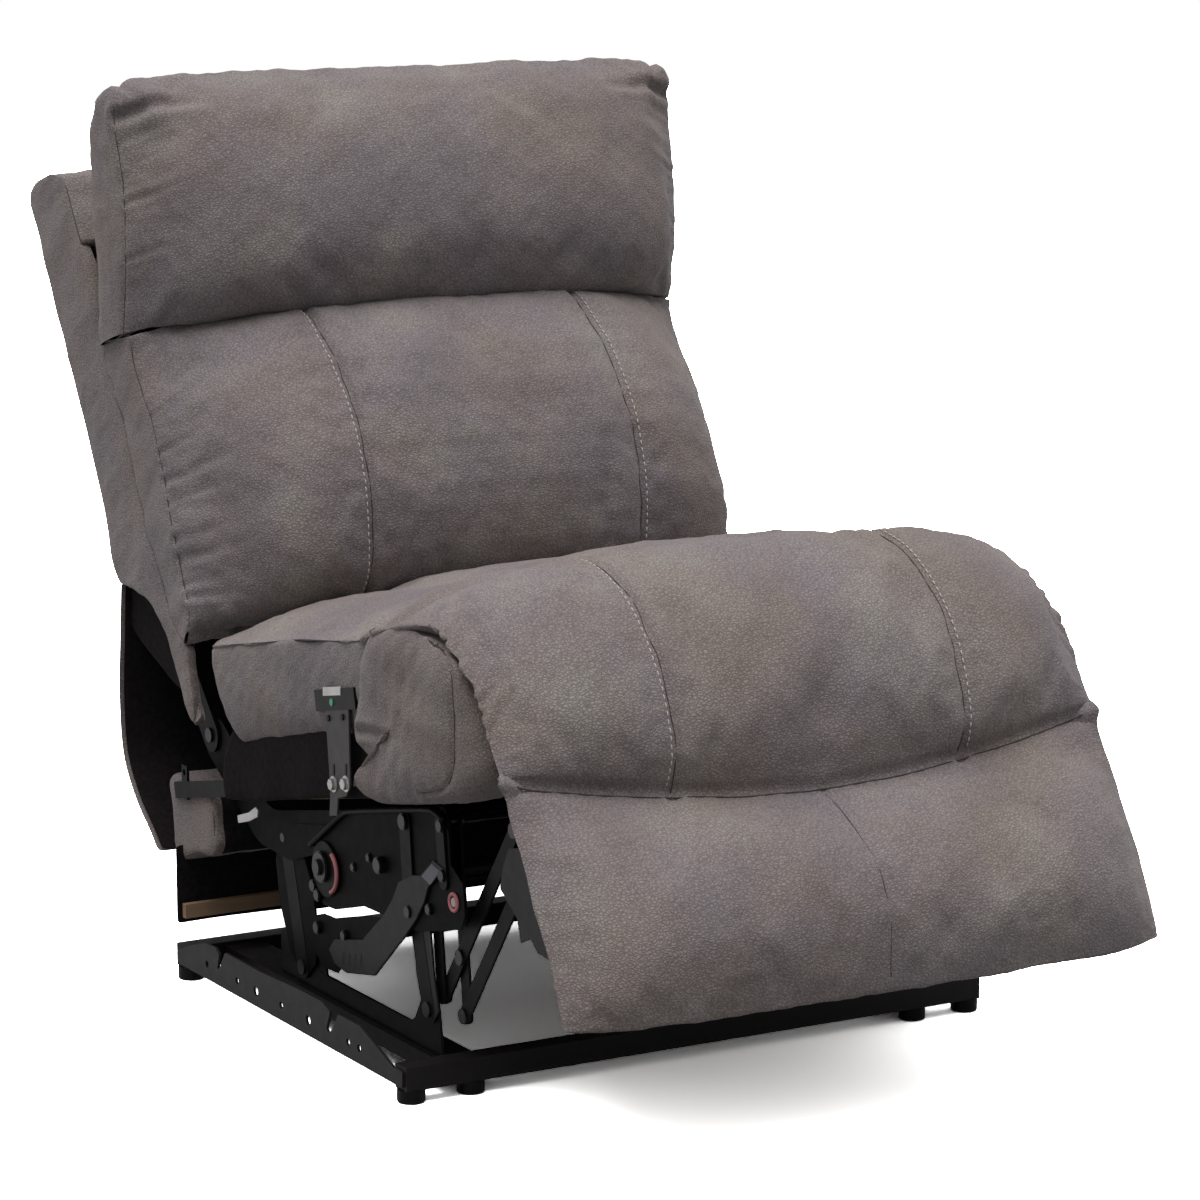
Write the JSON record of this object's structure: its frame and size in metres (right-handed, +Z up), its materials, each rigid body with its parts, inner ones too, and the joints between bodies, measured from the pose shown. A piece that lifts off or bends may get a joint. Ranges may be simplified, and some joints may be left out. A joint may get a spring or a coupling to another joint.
{
  "type": "armless recliner seat unit",
  "caption": "Armless power recliner unit with padded back, tilting headrest, chaise footrest and steel wall-saving mechanism on a low base frame.",
  "frame": {"origin": "on the floor, at the centre of the whole unit's footprint box in the stored pose", "axes": "+Z up, -Y to the front where the footrest is, +X across the seat"},
  "size_m": [0.7, 1.2872, 0.9809],
  "materials": {
    "upholstery": "matt pebbled suede-look cover, taupe grey",
    "black_cloth": "matt non-woven",
    "black_steel": "satin black paint",
    "zinc": "zinc plated",
    "spring_steel": "drawn steel",
    "timber": "sawn softwood",
    "plywood": "plain plywood",
    "black_plastic": "fine moulded texture"
  },
  "bodies": {
    "base": {"foot_glides": "black_plastic", "base_front_tube": "black_steel", "base_rear_tube": "black_steel", "base_rails": "black_steel", "base_stands": "black_steel", "arm_bracket_left": "black_steel", "arm_bracket_right": "black_steel", "base_fasteners": "zinc"},
    "rear_swing": {"rear_swing_links": "black_steel", "swing_torque_tube": "black_steel"},
    "front_swing_left": {"front_swing_link_left": "black_steel"},
    "front_swing_right": {"front_swing_link_right": "black_steel"},
    "seat": {"seat_plates": "black_steel", "seat_side_rails": "timber", "seat_cross_rails": "timber", "seat_springs": "spring_steel", "seat_cushion": "upholstery", "seat_top_pad": "upholstery", "chaise_bridge": "upholstery", "seat_dust_cover": "black_cloth", "rear_rail_arms": "black_steel", "lower_rear_rail": "upholstery", "rear_valance": "black_cloth", "valance_batten": "timber", "seat_fasteners": "zinc", "switch_bracket": "black_steel", "switch_housing": "black_plastic", "actuator_rail": "spring_steel", "actuator_motor": "black_plastic"},
    "carriage": {"actuator_carriage": "black_plastic"},
    "footrest_drive": {"footrest_drive_links": "black_steel", "footrest_cross_tube": "black_steel", "footrest_drive_pins": "zinc"},
    "guide_left": {"footrest_guide_left": "black_steel"},
    "guide_right": {"footrest_guide_right": "black_steel"},
    "upper_bar_left": {"footrest_upper_bar_left": "black_steel"},
    "upper_bar_right": {"footrest_upper_bar_right": "black_steel"},
    "lower_bar_left": {"footrest_lower_bar_left": "black_steel"},
    "lower_bar_right": {"footrest_lower_bar_right": "black_steel"},
    "footrest": {"footrest_board": "plywood", "footrest_brackets": "black_steel", "footrest_pins": "zinc", "footrest_pad": "upholstery"},
    "backrest": {"back_shell": "upholstery", "lumbar_cushion": "upholstery", "back_posts": "timber", "back_cross_rails": "timber", "back_springs": "spring_steel", "back_brackets": "black_steel", "rear_skirt": "upholstery", "headrest_hinges": "black_steel", "headrest_actuator": "black_plastic"},
    "headrest": {"headrest_levers": "black_steel", "headrest_board": "plywood", "head_cushion": "upholstery"},
    "headrest_rod": {"headrest_rod": "zinc"},
    "button_recline": {"button_recline": "black_plastic"},
    "button_return": {"button_return": "black_plastic"},
    "button_head_up": {"button_head_up": "black_plastic"},
    "button_head_down": {"button_head_down": "black_plastic"}
  },
  "joints": [
    {"name": "seat_swing", "type": "hinge", "parent": "base", "child": "rear_swing", "pos_m": [0, 0.051, 0.056], "axis": [1, 0, 0], "range_deg": [-12.5, 33.75]},
    {"name": "seat_level", "type": "hinge", "parent": "rear_swing", "child": "seat", "pos_m": [0, 0.091, 0.19], "axis": [-1, 0, 0], "range_deg": [-12.5, 33.75]},
    {"name": "front_swing_left_pivot", "type": "hinge", "parent": "base", "child": "front_swing_left", "pos_m": [0, -0.239, 0.081], "axis": [1, 0, 0], "range_deg": [-12.5, 33.75]},
    {"name": "front_swing_right_pivot", "type": "hinge", "parent": "base", "child": "front_swing_right", "pos_m": [0, -0.239, 0.081], "axis": [1, 0, 0], "range_deg": [-12.5, 33.75]},
    {"name": "back_recline", "type": "hinge", "parent": "seat", "child": "backrest", "pos_m": [0, 0.263, 0.27], "axis": [-1, 0, 0], "range_deg": [-10, 27], "deforming": ["rear_skirt"]},
    {"name": "footrest_swing", "type": "hinge", "parent": "seat", "child": "footrest", "pos_m": [0, -0.389, 0.44], "axis": [-1, 0, 0], "range_deg": [-22, 60], "deforming": ["chaise_bridge"]},
    {"name": "footrest_drive_pivot", "type": "hinge", "parent": "seat", "child": "footrest_drive", "pos_m": [0, -0.275, 0.285], "axis": [-1, 0, 0], "range_deg": [-22, 60]},
    {"name": "guide_left_pivot", "type": "hinge", "parent": "seat", "child": "guide_left", "pos_m": [0, -0.23945, 0.23666], "axis": [-1, 0, 0], "range_deg": [-22, 60]},
    {"name": "guide_right_pivot", "type": "hinge", "parent": "seat", "child": "guide_right", "pos_m": [0, -0.23945, 0.23666], "axis": [-1, 0, 0], "range_deg": [-22, 60]},
    {"name": "upper_bar_left_pivot", "type": "hinge", "parent": "footrest", "child": "upper_bar_left", "pos_m": [0, -0.4044, 0.3014], "axis": [1, 0, 0], "range_deg": [-22, 60]},
    {"name": "lower_bar_left_pivot", "type": "hinge", "parent": "footrest", "child": "lower_bar_left", "pos_m": [0, -0.411, 0.242], "axis": [1, 0, 0], "range_deg": [-22, 60]},
    {"name": "upper_bar_right_pivot", "type": "hinge", "parent": "footrest", "child": "upper_bar_right", "pos_m": [0, -0.4044, 0.3014], "axis": [1, 0, 0], "range_deg": [-22, 60]},
    {"name": "lower_bar_right_pivot", "type": "hinge", "parent": "footrest", "child": "lower_bar_right", "pos_m": [0, -0.411, 0.242], "axis": [1, 0, 0], "range_deg": [-22, 60]},
    {"name": "carriage_slide", "type": "slide", "parent": "seat", "child": "carriage", "axis": [0, -0.9781, 0.2079], "range_m": [-0.03796, 0.10335]},
    {"name": "headrest_tilt", "type": "hinge", "parent": "backrest", "child": "headrest", "pos_m": [0, 0.43, 0.702], "axis": [1, 0, 0], "range_deg": [-22, 12]},
    {"name": "headrest_rod_slide", "type": "slide", "parent": "backrest", "child": "headrest_rod", "axis": [0, 0.3811, 0.9245], "range_m": [-0.0145, 0.00795]},
    {"name": "button_recline_press", "type": "slide", "parent": "seat", "child": "button_recline", "axis": [0, -0.2079, -0.9781], "range_m": [0, 0.0015], "stiffness_N_per_m": 700, "springref_m": -0.0015},
    {"name": "button_return_press", "type": "slide", "parent": "seat", "child": "button_return", "axis": [0, -0.2079, -0.9781], "range_m": [0, 0.0015], "stiffness_N_per_m": 700, "springref_m": -0.0015},
    {"name": "button_head_up_press", "type": "slide", "parent": "seat", "child": "button_head_up", "axis": [0, -0.2079, -0.9781], "range_m": [0, 0.0015], "stiffness_N_per_m": 700, "springref_m": -0.0015},
    {"name": "button_head_down_press", "type": "slide", "parent": "seat", "child": "button_head_down", "axis": [0, -0.2079, -0.9781], "range_m": [0, 0.0015], "stiffness_N_per_m": 700, "springref_m": -0.0015}
  ],
  "couplings": [
    {"joint": "seat_level", "follows": "seat_swing", "ratio": 1},
    {"joint": "front_swing_left_pivot", "follows": "seat_swing", "ratio": 1},
    {"joint": "front_swing_right_pivot", "follows": "seat_swing", "ratio": 1},
    {"joint": "back_recline", "follows": "seat_swing", "ratio": 0.8},
    {"joint": "footrest_drive_pivot", "follows": "footrest_swing", "ratio": 1},
    {"joint": "guide_left_pivot", "follows": "footrest_swing", "ratio": 1},
    {"joint": "guide_right_pivot", "follows": "footrest_swing", "ratio": 1},
    {"joint": "upper_bar_left_pivot", "follows": "footrest_swing", "ratio": 1},
    {"joint": "upper_bar_right_pivot", "follows": "footrest_swing", "ratio": 1},
    {"joint": "lower_bar_left_pivot", "follows": "footrest_swing", "ratio": 1},
    {"joint": "lower_bar_right_pivot", "follows": "footrest_swing", "ratio": 1},
    {"joint": "carriage_slide", "follows": "footrest_swing", "m_per_rad": 0.0986},
    {"joint": "headrest_rod_slide", "follows": "headrest_tilt", "m_per_rad": 0.0375}
  ]
}
